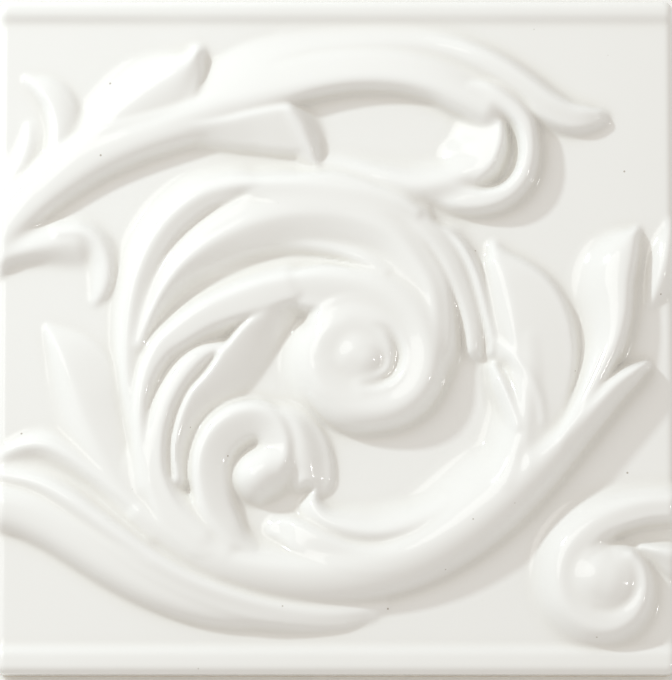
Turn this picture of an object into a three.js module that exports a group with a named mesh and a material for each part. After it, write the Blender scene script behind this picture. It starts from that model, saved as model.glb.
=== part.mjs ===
// Square ceramic relief tile with an acanthus scroll, lying on its back.
// Millimetres. +X right and +Y up across the pattern, +Z out of the glazed face.
import * as THREE from 'three';

// Tile body
const TILE_SIDE = 152;
const BODY_THICKNESS = 9.5;
const CORNER_RADIUS = 2.2;
const FACE_EDGE_RADIUS = 1.9;
const BACK_ARRIS = 0.8;

// Raised border along the top and bottom edges of the face
const RIM_HEIGHT = 1.2;
const TOP_RIM_FLAT = 2.8;
const TOP_RIM_SLOPE = 2.6;
const BOTTOM_RIM_FLAT = 4.4;
const BOTTOM_RIM_SLOPE = 2.6;

// Ornament: points are drawn on a square of this side and scaled to the tile
const DRAWN_SIDE = 152;
const RELIEF_SCALE = 1;
const FOOT_SLOPE = 1.7;
const LEAST_BLEND = 0.3;
const STROKE_MARGIN = 5;
const LEAST_REACH = 0.1;
const NEARNESS = 8;
const SPLINE_STEPS = 5;

// Facets across the face
const FACE_DIVISIONS = 58;
const EDGE_DIVISIONS = 3;

// Raised strokes, root to tip: [name, left profile, left foot, right profile, right foot, blend, points]
// A foot is the share of the height that is left where the reach ends
// Each point: x, y, reach to the left, reach to the right, height over the field
const RAISED = [
  ['small leaf, crest', 'soft', 0, 'domed', 0.3, 1.2, [
    [-80, 15, 3, 4, 2.4], [-75.6, 20, 2.6, 5, 2.6], [-71.8, 27, 2.4, 5.4, 2.8],
    [-67.5, 33.5, 2.4, 5.6, 2.9], [-64, 39.5, 2.4, 5, 2.9], [-63, 46, 2.4, 5, 2.8],
    [-64.2, 51.4, 2.2, 6, 2.5], [-66.6, 55, 1.8, 4.4, 2], [-69.8, 58, 0.8, 1, 0.9],
  ]],
  ['small leaf, second fold', 'soft', 0, 'soft', 0, 1.6, [
    [-79, 27, 4, 4, 1.1], [-74.5, 33, 4, 4, 1.2], [-71, 38.4, 3.6, 3.4, 1.1],
    [-69.4, 43.4, 2.6, 3, 0.9], [-69, 47.4, 1.6, 2, 0.4],
  ]],
  ['large leaf', 'soft', 0, 'soft', 0.76, 1.6, [
    [-65, 33, 4, 3, 3], [-59.4, 39.4, 5.6, 4, 3.6], [-53.4, 45.6, 7.6, 6, 4],
    [-47.6, 50.6, 9.4, 7.4, 4.3], [-42.4, 54.6, 10.6, 8.4, 4.6], [-38, 58, 10.6, 8.4, 4.8],
    [-34.8, 60.8, 9, 6, 5], [-32.6, 63.4, 6, 2.6, 4.7], [-31.4, 66, 2.2, 0.8, 3.6],
  ]],
  ['upper stem', 'soft', 0.86, 'steep', 0, 1.2, [
    [-82, 13, 4, 3, 2.2], [-75.4, 22.6, 4, 4, 3], [-67, 31, 5, 4.2, 3.8], [-60, 37, 5, 4.4, 4.3],
    [-54, 41, 5, 4.4, 4.7], [-47, 44.2, 4, 4.4, 5], [-40, 46.6, 3.4, 4.4, 5.2],
    [-33, 49, 3, 5, 5.3], [-26, 52, 4, 6, 5.4], [-19, 55, 5, 6, 5.5],
  ]],
  ['arc of the upper stem', 'flat', 0, 'steep', 0, 1.4, [
    [-40, 48, 3, 3, 4], [-33, 50.4, 6, 4, 4.5], [-26, 52.2, 10.4, 5, 4.9], [-19, 53.8, 13, 5, 5.1],
    [-12, 55.4, 13.4, 4.4, 5.2], [-4, 57.2, 12.4, 3.6, 5.2], [5, 58.4, 11.8, 3.4, 5.2],
    [14, 58.2, 11.4, 3.4, 5.2], [22, 56.7, 10.4, 3.8, 5.2], [29, 54.2, 8, 4.8, 5.2],
    [34, 52, 5, 5, 5.2],
  ]],
  ['hanging leaf', 'flat', 0, 'flat', 0.5, 0.8, [
    [-36, 47.2, 2, 2, 4.6], [-30, 47.6, 2, 3.6, 5], [-24, 48.6, 3, 5.6, 5.2],
    [-19, 49.8, 3, 7.4, 5.3], [-14, 50.8, 3, 9.4, 5.3], [-10.6, 51.2, 2, 10.4, 5.1],
  ]],
  ['hanging leaf, turned edge', 'flat', 0, 'flat', 0.86, 0.8, [
    [-12.4, 51.4, 2, 2, 4.6], [-10.4, 50.6, 4.4, 4, 5.1], [-8.6, 48, 5.8, 4, 4.8],
    [-7, 44.6, 5.4, 4, 4], [-5.6, 41.4, 3.8, 3, 3.2], [-4.4, 38.8, 1, 1, 2],
  ]],
  ['outer leaf of the arc', 'soft', 0, 'soft', 0.82, 1.6, [
    [-10, 65.4, 5, 4, 0.4], [0, 66.4, 5, 4, 0.6], [10, 67, 4.6, 4.4, 0.9], [19, 66.8, 4, 4.8, 1.7],
    [26, 65.8, 3.6, 5.2, 2.7], [32, 64, 3.2, 5.4, 3.6], [38, 61.2, 3, 5.4, 4.1],
    [43.6, 57.4, 3, 5.2, 4.3], [48.4, 53.8, 2.8, 5, 4.2], [52.6, 51.6, 2.2, 4.6, 3.9],
    [56.4, 50.8, 1.8, 4, 3.5], [59.2, 50.6, 1, 2, 2.7],
  ]],
  ['hook, outer ring', 'steep', 0, 'steep', 0.95, 0.9, [
    [31, 55.4, 3, 3, 4.2], [35.8, 54.6, 3.6, 4, 4.9], [39.8, 52, 3.2, 3, 5.1],
    [42.6, 48.4, 2.6, 2, 5.2], [43.6, 44, 2.4, 1.8, 5.2], [43.5, 39.6, 2.4, 1.8, 5.2],
    [42.1, 35.4, 2.5, 1.9, 5.1], [39.3, 32.2, 2.6, 2, 5], [35.6, 30.4, 2.8, 2.2, 4.8],
    [31, 29.8, 2.8, 2.6, 4.3], [26.4, 30.4, 2.8, 3.4, 3.6], [22.6, 32, 2.6, 4, 2.6],
  ]],
  ['hook, inner dome', 'steep', 0.2, 'soft', 0, 1.8, [
    [33.6, 53, 2.4, 3, 4.2], [33.8, 49, 3.6, 6.6, 4.8], [33.4, 45, 4.6, 9, 5],
    [32.6, 41, 5.2, 9.6, 5], [31.2, 37.2, 4.4, 8.4, 4.7],
  ]],
  ['left hook', 'soft', 0, 'steep', 0, 1.4, [
    [-80, 14.8, 10, 4.6, 2.4], [-74, 17.8, 9, 5, 2.8], [-68, 19.6, 8, 5.4, 3],
    [-62.6, 20.6, 7, 5, 3], [-58.6, 21, 5.6, 3.6, 2.6],
  ]],
  ['left hook, turned end', 'soft', 0, 'soft', 0, 1.6, [
    [-63, 22.6, 4, 1, 2.8], [-57.6, 23.2, 4.2, 3, 2.9], [-53.6, 21, 3.8, 4.6, 2.8],
    [-51.6, 17, 3.4, 5, 2.6], [-51.4, 13, 3, 5, 2.2], [-52.4, 9.8, 2.4, 4, 1.5],
    [-53.8, 7.6, 1, 2, 0.7],
  ]],
  ['left leaf, blade', 'soft', 0, 'flat', 0.3, 1.4, [
    [-41, -45, 6, 5, 3.6], [-46.6, -36.6, 8, 6, 3.6], [-52, -28, 8, 7, 3.4],
    [-55.8, -19.6, 7.2, 8, 3.1], [-58.4, -12, 6.4, 10.4, 2.9], [-60.8, -6, 4.8, 9, 2.6],
    [-63.2, -1.6, 2.4, 5, 1.9], [-65, 1.6, 0.6, 1, 0.8],
  ]],
  ['fold under the left leaf', 'soft', 0, 'soft', 0, 1.4, [
    [-75, -27, 1.6, 2, 0.5], [-71, -25.2, 3.2, 3, 1.8], [-65.6, -24.8, 4.6, 3.6, 2.6],
    [-60, -27.2, 4.6, 4, 3.1], [-53.6, -31.8, 4.4, 4, 3.5], [-47, -37, 4.4, 4.2, 3.9],
    [-41, -41.8, 4.2, 4.2, 4.4], [-34, -46.6, 4, 4.4, 4.8],
  ]],
  ['base of the scroll lobes', 'soft', 0, 'soft', 0.5, 1, [
    [-42, -34, 7, 5, 4.2], [-43.4, -20, 3, 4, 3.8], [-43, -6, 3, 5, 2.8], [-38, 5, 5, 6, 1.2],
    [-31, 12, 6, 7, 0.5], [-22, 18, 8, 8, 0.4], [-11, 19, 10, 10, 0.5], [0, 18, 12, 12, 1.6],
    [9, 16, 12, 12, 3.4], [17, 10, 12, 12, 4.6], [20, 0, 8, 10, 4.6],
  ]],
  ['spiral, outer lobe', 'soft', 0, 'soft', 0.78, 1.2, [
    [-43.6, -28, 4, 4, 3.2], [-46.6, -12, 3, 2.6, 3.2], [-47, -3, 3.8, 3, 3.4],
    [-46, 7, 5, 3, 3.9], [-44, 14.5, 6, 3, 4.3], [-40.8, 21.4, 6.8, 3.4, 4.6],
    [-36.4, 27, 7, 3.6, 4.9], [-30.4, 31.4, 7, 3.4, 5], [-24, 33.6, 6, 3, 5],
    [-19.8, 34.2, 5, 2, 4.8], [-17.6, 34, 3.4, 1.2, 4.5],
  ]],
  ['spiral, second lobe', 'soft', 0.78, 'soft', 0.2, 1.8, [
    [-43.8, -2.4, 1.6, 2, 3.6], [-41.4, 4.2, 2, 2.6, 4.1], [-38.4, 10.2, 2.6, 3.6, 4.6],
    [-34.4, 15.4, 3.4, 4.6, 5], [-29.2, 19.6, 4.4, 5.4, 5.2], [-23, 23, 5.4, 5.6, 5.3],
    [-15.6, 25.8, 7, 5.6, 5.4], [-8, 27.2, 8, 6, 5.4], [0, 27, 9, 6.6, 5.4], [7, 25.2, 8, 7, 5.5],
    [13, 21.8, 5, 9, 5.5], [17.6, 16.4, 4, 10, 5.6], [20.8, 10.6, 4, 10, 5.8],
    [22, 4, 3.6, 8, 5.9], [22.2, -3, 3.2, 6, 5.9], [21, -8, 2, 4, 5.4],
  ]],
  ['spiral, low ridge', 'soft', 0.85, 'steep', 0.3, 0.6, [
    [-25, 15, 1.4, 1.6, 0.6], [-19, 18, 2.4, 1.8, 1.2], [-12.6, 19.8, 3, 2, 1.7],
    [-6, 20.2, 3.2, 2.2, 2.1], [1, 19, 3.2, 2.2, 2.7], [6.6, 16.8, 3, 2, 3.6],
    [11, 13.8, 2, 1.6, 4.4],
  ]],
  ['spiral band and coil', 'soft', 0, 'domed', 0.84, 1, [
    [-41, -36, 4, 3, 4.4], [-43.6, -26, 3, 2, 4.6], [-44.4, -17, 2.6, 1.7, 4.8],
    [-43.2, -9, 3, 2.4, 5], [-40.2, -2.4, 3.4, 3.4, 5.2], [-36, 1.6, 4, 4.2, 5.4],
    [-30.6, 5.4, 4.4, 4.6, 5.5], [-25, 8, 5, 4.9, 5.6], [-18, 10.6, 5.4, 5.4, 5.6],
    [-11.6, 12.2, 5.6, 4.6, 5.5],
  ]],
  ['coil, outer turn', 'round', 0, 'soft', 0.84, 1.2, [
    [-17, 10.6, 1, 1, 4], [-12.6, 12, 2, 4, 5], [-8, 12.6, 3, 6.6, 5.4], [-2, 12.6, 4, 6.6, 5.6],
    [6, 11.2, 5, 6, 5.8], [12.6, 8.2, 6, 5, 6.1], [17.8, 3.6, 6.6, 5, 6.5],
    [20.4, -2.2, 5, 5.4, 6.8], [20.4, -8.2, 4.8, 6, 7], [18, -13.2, 4.6, 6, 7],
    [13.6, -16.2, 4.8, 6, 6.8], [8, -17, 5.2, 6, 6.5], [2.4, -15.8, 6, 7, 6.2],
    [-2.2, -12.4, 5, 8, 5.9], [-4.4, -8, 3, 8, 5.6],
  ]],
  ['coil, inner turn', 'soft', 0, 'soft', 0.9, 1.2, [
    [6, -15, 4, 6, 5.4], [1.4, -14.4, 6, 7, 5.7], [-2.4, -12, 8, 8, 5.9], [-4.6, -8, 8.6, 8, 6],
    [-4.4, -2.8, 8.6, 8, 6], [-1.6, 1, 6, 8, 6], [2.4, 3.2, 2, 8, 5.6],
  ]],
  ['coil, last turn', 'soft', 0.82, 'soft', 0.9, 1.2, [
    [-4.4, -4.6, 0.4, 8, 5.8], [-3.4, -1.4, 2.4, 8, 6], [-0.6, 1.8, 5, 8, 6.1],
    [4, 3.4, 5.4, 8, 6.1], [9.2, 2.4, 5, 6, 6.1], [12.8, -0.8, 4, 4, 6.1], [14.8, -5, 3.4, 3, 6],
    [14, -9.4, 3.4, 3, 6], [10.4, -12, 3.6, 3, 5.9], [6, -13, 3.6, 3, 5.8],
  ]],
  ['coil, button', 'round', 0.8, 'round', 0.8, 1.6, [
    [4.8, -4.6, 6.6, 6.6, 6.7], [5.8, -5, 6.6, 6.6, 6.7],
  ]],
  ['finger lobe', 'steep', 0.8, 'soft', 0.94, 1, [
    [-25.8, -3.4, 1.2, 1.6, 4.8], [-28.6, -4.8, 2, 2.6, 5.2], [-32, -7.8, 2.4, 3.4, 5.3],
    [-35.2, -12.2, 2.2, 3.8, 5.3], [-37.8, -18, 1.8, 3.8, 5.3], [-39, -25, 1.6, 4, 5.3],
    [-38.6, -32, 1.8, 4, 5.3], [-35.6, -39, 3, 5, 5.3], [-30, -45, 5, 5, 5.3],
  ]],
  ['arc over the spiral, end lobe', 'soft', 0, 'soft', 0.9, 1.2, [
    [-26, 32.6, 3, 1, 4.2], [-20, 33.8, 4.6, 1.4, 4.8], [-13.4, 34, 5.4, 4, 5.1],
    [-7, 33.8, 5.4, 5, 5.2], [0, 33, 6, 5, 5.2], [8, 31.8, 6.4, 4, 5.1], [14, 30, 5.4, 3.6, 5],
    [18.2, 27.8, 3, 2.6, 4.6],
  ]],
  ['saddle between hook and scroll', 'soft', 0, 'soft', 0, 2, [
    [33, 38, 6, 6, 3.6], [25.6, 34.6, 7, 7, 4.2], [18, 33.6, 7, 7, 4.3], [10, 35.8, 5, 5, 3.4],
    [2, 38, 4, 4, 1.8], [-6, 39, 3, 3, 0.6],
  ]],
  ['ground under the ribs', 'soft', 0, 'soft', 0, 1.4, [
    [12, 30, 6, 6, 3.8], [20, 26, 6, 6, 3.4], [26, 19, 6, 6, 2.6], [30, 10, 5, 6, 1.8],
    [32, 0, 4, 5, 1.2],
  ]],
  ['first rib', 'flat', 0.75, 'steep', 0.2, 0.6, [
    [12, 28, 1.4, 1, 4.2], [18.4, 24, 2.6, 1.4, 4.6], [23.8, 17.8, 2.8, 1.6, 4.3],
    [27, 11, 2.8, 1.5, 3.9], [29, 5, 2.6, 1.4, 3.5], [30, 0, 2.4, 1.3, 3.1],
    [30.2, -3.4, 2, 1, 2.6],
  ]],
  ['second rib', 'soft', 0, 'steep', 0.4, 0.6, [
    [25, 23.6, 1.6, 1, 2.6], [28.6, 19.6, 2.2, 1.2, 3.5], [31.2, 14.6, 2.4, 1.3, 3.4],
    [32.8, 9, 2.4, 1.2, 3.3], [34, 4, 2.2, 1.2, 3.2], [35, -0.6, 2, 1.2, 3.1],
    [35, -4, 1.4, 1, 2.5],
  ]],
  ['small volute, ring', 'round', 0, 'flat', 0.72, 0.9, [
    [-19, -48.6, 1.6, 1.6, 4.2], [-23.6, -46.4, 3, 4, 5.1], [-28.4, -40.6, 2.8, 6, 5.3],
    [-30.6, -33, 2.3, 6.8, 5.5], [-30.2, -26.6, 2.5, 7, 5.6], [-27.4, -21.4, 2.9, 7, 5.7],
    [-23, -18.2, 3.2, 6.6, 5.7], [-18, -17.2, 3, 6, 5.6], [-13.8, -19, 3, 5.6, 5.5],
    [-11.4, -23, 2.4, 5, 5.4], [-11.2, -27, 2, 5, 5.3], [-12.8, -31, 2, 5, 5],
  ]],
  ['small volute, ball', 'domed', 0.55, 'domed', 0.55, 1.6, [
    [-17.8, -31, 4.6, 4.6, 6], [-14.6, -28, 5, 5, 5.9], [-11.8, -26.6, 4, 4, 5.6],
  ]],
  ['small volute, fin', 'flat', 0.5, 'soft', 0.85, 0.8, [
    [-16, -17.4, 1.2, 2, 3.6], [-12.4, -17.6, 2, 4, 4.4], [-9.2, -20, 3.6, 4, 4.7],
    [-7.8, -24, 5.2, 4, 4.6], [-7.4, -28.4, 6.6, 4, 4.2], [-7, -32, 5.6, 2, 3.6],
  ]],
  ['upper root', 'soft', 0.15, 'soft', 0.8, 0.8, [
    [-82, -30.6, 1.6, 2, 0.4], [-74, -31.4, 2.4, 3, 1.6], [-66.4, -33.2, 3.2, 4, 3.3],
    [-60, -36.4, 3.6, 4.4, 4.5], [-54, -40.6, 3.6, 4.4, 5.2], [-48, -45, 3.6, 4.4, 5.6],
    [-41, -50, 3.8, 4.4, 5.7], [-33, -54.6, 3.6, 4, 5.5], [-25, -57.8, 3.2, 4, 5],
    [-17, -60.2, 2.8, 4, 4.2], [-8, -61.8, 2.4, 3.6, 3], [1, -62.4, 2, 3, 1.9],
    [8, -61.6, 1.4, 2, 0.7],
  ]],
  ['lower root', 'flat', 0.7, 'steep', 0, 1.2, [
    [-79, -36.6, 3, 6.4, 3.8], [-70, -38.6, 3, 6.8, 4], [-63, -41.8, 3.6, 6.6, 4.2],
    [-56, -46, 4, 6.6, 4.4], [-49, -50.4, 4, 6.6, 4.5], [-41, -55, 4.6, 6.2, 4.4],
    [-33, -58.4, 4.6, 5.8, 4.1], [-25, -60.8, 4.2, 5, 3.6], [-17, -61.8, 4, 4.2, 3.1],
    [-8, -62, 3.6, 3.6, 2.6], [2, -61.6, 3, 2.8, 1.9], [10, -60.6, 2, 2, 0.7],
  ]],
  ['base of the stem', 'soft', 0, 'soft', 0.6, 1.6, [
    [-42.6, -22, 1, 1.6, 2], [-43, -31, 3.4, 5, 3.8], [-39.4, -38.6, 6, 6, 4.6],
    [-33, -44.6, 7, 6, 5], [-25, -49, 8, 6, 5.2],
  ]],
  ['main band', 'soft', 0, 'round', 0, 1, [
    [-44, -40, 6, 3.6, 4.4], [-37, -45, 7, 4.6, 4.8], [-29, -49, 8, 6, 5.2],
    [-20, -51.8, 8, 6.4, 5.5], [-10, -53.2, 9, 7, 5.7], [0, -53.2, 11, 7.4, 6],
    [10, -51.6, 11.6, 7.6, 6.4], [19, -48.6, 13, 7.6, 6.8], [27, -44.4, 15, 7.4, 7.2],
    [34, -39.4, 16, 7.2, 7.6], [40.6, -33.6, 15, 6.8, 7.8], [46.4, -28.2, 10, 6, 8],
    [51.8, -22.6, 6.6, 5.2, 8], [57, -17, 5.4, 4.6, 7.8], [62, -11.8, 4.8, 4, 7.4],
    [66.4, -8.4, 3.2, 3, 6.6], [69.4, -6.6, 1.2, 1.2, 5.2],
  ]],
  ['inner leaf, lower lobe', 'soft', 0, 'soft', 0.94, 1.6, [
    [-13, -41.8, 1.6, 3, 1.2], [-9, -42.6, 2.8, 5, 3.6], [-4, -45.2, 4, 5, 5],
    [3, -48.4, 5, 5, 5.6], [11, -49.8, 6, 4, 5.6], [18, -48.6, 4, 3, 5],
  ]],
  ['inner leaf, upper lobe', 'soft', 0, 'soft', 0.6, 1, [
    [-4.6, -34.6, 0.8, 1, 1.6], [-5, -38, 3, 2.4, 3], [-2.6, -41.6, 5, 3, 4], [3, -44, 7, 3, 4.9],
    [10, -44.8, 8, 3, 5.3], [18, -43, 8, 3, 5.2], [25, -39, 6, 3, 4.6],
  ]],
  ['middle leaf', 'soft', 0, 'flat', 0.55, 1.8, [
    [43, -30, 5, 4, 7], [42.6, -20, 5, 8, 6.2], [41.6, -10, 5, 11.4, 5.4], [40.6, -3, 5, 13.2, 5],
    [39.8, 3, 5.4, 12.8, 4.8], [38.8, 9, 5.4, 11, 4.4], [37.6, 13.4, 4.6, 7, 3.9],
    [36.4, 17, 3.6, 2.8, 3], [35.2, 19.8, 1.6, 1.2, 1.6],
  ]],
  ['middle leaf, left fold', 'soft', 0, 'soft', 0, 1.8, [
    [38, -4, 5, 5, 3], [37.2, 4, 5, 5, 3.2], [36.4, 11, 5, 5, 3], [35.4, 16, 3.6, 4, 2.4],
  ]],
  ['middle leaf, first inner lobe', 'soft', 0, 'soft', 0, 1.8, [
    [36, -1.2, 1.6, 2, 2.4], [39.4, -4.6, 3.6, 4, 4.6], [43, -9, 4, 4.6, 5.5],
    [45.6, -14.6, 3, 4.6, 5.6], [46.4, -20, 2, 4, 5.2],
  ]],
  ['middle leaf, second inner lobe', 'soft', 0, 'soft', 0, 1.6, [
    [35.2, -6.8, 1.4, 1.6, 2.6], [37, -10.6, 3, 3.4, 4.6], [39, -15.6, 3.6, 4, 5.8],
    [40.6, -21, 4, 4, 6.6],
  ]],
  ['base of the middle leaf', 'soft', 0, 'soft', 0, 1.4, [
    [38, -34, 11, 7, 7], [41, -26, 10, 7, 6.6], [42.6, -17, 9, 8, 6], [43.4, -9, 8, 8, 5.2],
    [43, -1, 6, 8, 4.2],
  ]],
  ['right leaf', 'flat', 0, 'steep', 0.2, 1.6, [
    [50, -24, 4, 3, 7.2], [55.2, -15.8, 4, 2.6, 6.7], [59.6, -8, 6, 2.4, 6.2],
    [62.6, -1.6, 8, 2.4, 5.9], [64, 5, 10, 2.6, 5.6], [64.2, 12, 12, 3, 5.2],
    [64.8, 17.4, 11, 3.4, 4.7], [66, 21.2, 6, 2.6, 3.8], [67.4, 23.8, 1, 1, 2.2],
  ]],
  ['leaf at the right side', 'flat', 0, 'soft', 0.4, 1, [
    [70.6, 7.2, 1, 1.2, 1.2], [72, 11, 2.6, 3, 2.2], [73.4, 16, 3.6, 4, 2.6],
    [74.6, 21, 3.4, 5, 2], [75.6, 25, 2, 3, 0.8],
  ]],
  ['corner volute, ring', 'soft', 0.92, 'soft', 0, 1.4, [
    [79, -37.6, 3.4, 4.6, 4.6], [70, -37.8, 3.6, 4.6, 4.8], [63, -39.8, 4, 5.4, 4.9],
    [56.8, -43.4, 4.6, 6.4, 4.9], [52, -48.6, 4.2, 7.4, 4.9], [50.4, -54.6, 4.2, 7.4, 4.9],
    [51.6, -60.6, 5, 7.2, 4.9], [56, -65, 5.4, 6.2, 4.9], [61.6, -66, 5.4, 5.2, 4.8],
    [66.4, -63.4, 5, 4.6, 4.8], [69, -58.4, 4.6, 3.4, 4.8], [68.8, -53, 4, 2.6, 4.8],
    [66, -49.4, 3.4, 2.4, 4.8],
  ]],
  ['corner volute, ball', 'domed', 0.6, 'domed', 0.6, 1.6, [
    [59, -54.6, 7.4, 7.4, 6.4], [60.6, -55, 7.4, 7.4, 6.4],
  ]],
  ['corner volute, outer leaf', 'soft', 0, 'soft', 0.4, 0.8, [
    [68, -47.4, 1.2, 1.2, 2.2], [72, -48.4, 2.6, 3, 3.2], [78, -50, 4, 5, 3.6],
  ]],
];

// Hollows cut into the raised work: [name, left profile, right profile, points]
// Each point: x, y, reach to the left, reach to the right, depth
const SUNK = [
  ['crescent beside the button', 'soft', 'soft', [
    [8.6, 2, 1, 1, 0.1], [11.6, 0.6, 1.5, 1.5, 0.9], [13.6, -2.6, 1.8, 1.8, 1.9],
    [13.9, -5.8, 1.9, 1.9, 2.3], [12.6, -9, 1.8, 1.8, 2.1], [9.8, -11, 1.5, 1.5, 1.3],
    [6.4, -11.6, 1.2, 1.2, 0.4],
  ]],
  ['crescent over the corner ball', 'soft', 'soft', [
    [57.4, -48, 1, 1, 0.3], [61, -45.8, 1.6, 1.6, 1.2], [66, -44.4, 1.9, 1.9, 2],
    [72, -43.8, 2, 2, 2.4], [79, -43.6, 2, 2, 2.4],
  ]],
  ['crescent right of the corner ball', 'soft', 'soft', [
    [58.4, -61.6, 1.6, 1.6, 0.2], [62.2, -61.6, 2.2, 2.2, 0.5], [65.6, -59.4, 2.2, 2.2, 0.5],
    [67, -56, 2, 2, 0.4], [66.4, -51.8, 1.4, 1.4, 0.1],
  ]],
  ['notch beside the ribs', 'soft', 'soft', [
    [21.4, 28.8, 1, 1, 0.4], [22.4, 26.8, 2, 1.8, 1.6], [24.2, 25.6, 2.2, 2, 1.5],
    [26.8, 25, 1, 1, 0.3],
  ]],
  ['pocket under the small volute', 'soft', 'soft', [
    [-16.6, -37, 1, 1, 0.4], [-12.8, -37.4, 2.2, 2, 2], [-9, -36.8, 2.6, 2.4, 2.6],
    [-6.2, -34.6, 1.8, 1.6, 1.8],
  ]],
  ['groove under the outer leaf of the arc', 'soft', 'soft', [
    [-14, 61.6, 1.6, 1.6, 0.1], [-5, 64, 1.6, 1.6, 0.3], [7, 65, 1.6, 1.6, 0.4],
    [20, 64, 1.8, 1.8, 0.6], [30, 60.4, 1.8, 1.8, 0.9], [36.4, 56.8, 1.7, 1.7, 1.2],
    [41.8, 52.6, 1.6, 1.4, 1.4], [44.6, 49, 1, 1, 0.6],
  ]],
  ['groove between the roots', 'soft', 'soft', [
    [-82, -32.6, 1.4, 1.4, 0.6], [-74, -33.6, 1.6, 1.4, 0.7], [-67, -35.6, 1.9, 1.6, 0.9],
    [-58, -41.2, 1.9, 1.6, 0.6], [-50, -46.4, 1.7, 1.5, 0.3], [-42, -50.6, 1.2, 1.2, 0.1],
  ]],
];

// Cross profiles of a stroke, from its crest (0) to its foot (1)
const ROUND_FULLNESS = 0.62;
const STEEP_SHOULDER = 3.2;
const STEEP_FULLNESS = 0.8;
const FLAT_CURVE = 1.25;
const PROFILES = {
  round: (t) => (1 - t ** 2) ** ROUND_FULLNESS,
  steep: (t) => (1 - t ** STEEP_SHOULDER) ** STEEP_FULLNESS,
  soft: (t) => (1 + Math.cos(Math.PI * t)) / 2,
  flat: (t) => 1 - t ** FLAT_CURVE,
  domed: (t) => 1 - t ** 2,
};

const plan = TILE_SIDE / DRAWN_SIDE;
const half = TILE_SIDE / 2;

function smoothStep(from, to, value) {
  const t = Math.min(1, Math.max(0, (value - from) / (to - from)));
  return t * t * (3 - 2 * t);
}

function blendUp(a, b, reach) {
  return Math.max(a, b) + Math.max(reach - Math.abs(a - b), 0) ** 2 / (4 * reach);
}

// Smooth centre line through the points of a stroke
function centreLine(points) {
  const line = [];
  for (let i = 0; i < points.length - 1; i += 1) {
    const a = points[Math.max(i - 1, 0)];
    const b = points[i];
    const c = points[i + 1];
    const d = points[Math.min(i + 2, points.length - 1)];
    for (let s = 0; s < SPLINE_STEPS; s += 1) {
      const t = s / SPLINE_STEPS;
      line.push(b.map((_, k) => 0.5 * (2 * b[k] + (c[k] - a[k]) * t
        + (2 * a[k] - 5 * b[k] + 4 * c[k] - d[k]) * t * t
        + (3 * b[k] - a[k] - 3 * c[k] + d[k]) * t ** 3)));
    }
  }
  line.push(points[points.length - 1].slice());
  return line.map(([x, y, left, right, height]) => ({
    x: x * plan,
    y: y * plan,
    left: Math.max(left, LEAST_REACH) * plan,
    right: Math.max(right, LEAST_REACH) * plan,
    height: height * RELIEF_SCALE,
  }));
}

// A stroke with its centre line, its sides and the box that it can reach
function stroke(points, left, leftFoot, right, rightFoot, blend) {
  const line = centreLine(points);
  const reach = Math.max(...line.map((p) => Math.max(p.left, p.right))) + STROKE_MARGIN * plan;
  return {
    line,
    left: { shape: PROFILES[left], foot: leftFoot },
    right: { shape: PROFILES[right], foot: rightFoot },
    blend,
    minX: Math.min(...line.map((p) => p.x)) - reach,
    maxX: Math.max(...line.map((p) => p.x)) + reach,
    minY: Math.min(...line.map((p) => p.y)) - reach,
    maxY: Math.max(...line.map((p) => p.y)) + reach,
  };
}

const raised = RAISED.map(([, left, leftFoot, right, rightFoot, blend, points]) => (
  stroke(points, left, leftFoot, right, rightFoot, blend)));
const sunk = SUNK.map(([, left, right, points]) => stroke(points, left, 0, right, 0, 0));

function isNear(one, x, y) {
  return x > one.minX && x < one.maxX && y > one.minY && y < one.maxY;
}

// Height of one flank at a distance from the crest line
function flankHeight(side, crest, away, reach) {
  const shape = side.foot + (1 - side.foot) * side.shape(Math.min(away / reach, 1));
  return crest * shape - Math.max(away - reach, 0) * FOOT_SLOPE;
}

// Reaches and crest height are averaged along the line, near parts counting most
function strokeHeight(one, x, y) {
  let nearest = Infinity;
  let onLeft = 0;
  let weights = 0;
  let left = 0;
  let right = 0;
  let crest = 0;
  for (let i = 0; i < one.line.length - 1; i += 1) {
    const a = one.line[i];
    const b = one.line[i + 1];
    const dx = b.x - a.x;
    const dy = b.y - a.y;
    const u = Math.min(1, Math.max(0, ((x - a.x) * dx + (y - a.y) * dy) / (dx * dx + dy * dy)));
    const ox = x - a.x - u * dx;
    const oy = y - a.y - u * dy;
    const away = Math.hypot(ox, oy, LEAST_REACH * plan);
    const weight = away ** -NEARNESS;
    weights += weight;
    left += weight * (a.left + u * (b.left - a.left));
    right += weight * (a.right + u * (b.right - a.right));
    crest += weight * (a.height + u * (b.height - a.height));
    if (away < nearest) {
      nearest = away;
      onLeft = 0.5 + (0.5 * (dx * oy - dy * ox)) / (Math.hypot(dx, dy) * away);
    }
  }
  const height = crest / weights;
  return onLeft * flankHeight(one.left, height, nearest, left / weights)
    + (1 - onLeft) * flankHeight(one.right, height, nearest, right / weights);
}

// Height of the ornament and rims over the field
function reliefAt(x, y) {
  let height = 0;
  for (const one of raised) {
    if (isNear(one, x, y)) {
      const top = strokeHeight(one, x, y);
      const both = Math.min(1, Math.max(0, Math.min(height, top)));
      height = blendUp(height, top, Math.max(LEAST_BLEND, one.blend * both));
    }
  }
  for (const one of sunk) {
    if (isNear(one, x, y)) height -= Math.max(strokeHeight(one, x, y), 0);
  }
  const topEdge = half - TOP_RIM_FLAT;
  const bottomEdge = half - BOTTOM_RIM_FLAT;
  const rim = RIM_HEIGHT * (smoothStep(topEdge - TOP_RIM_SLOPE, topEdge, y)
    + smoothStep(bottomEdge - BOTTOM_RIM_SLOPE, bottomEdge, -y));
  return Math.max(height, rim);
}

// Drop of the rounded face edge
function edgeDrop(inset) {
  const short = Math.max(FACE_EDGE_RADIUS - inset, 0);
  return FACE_EDGE_RADIUS - Math.sqrt(FACE_EDGE_RADIUS ** 2 - short ** 2);
}

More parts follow.
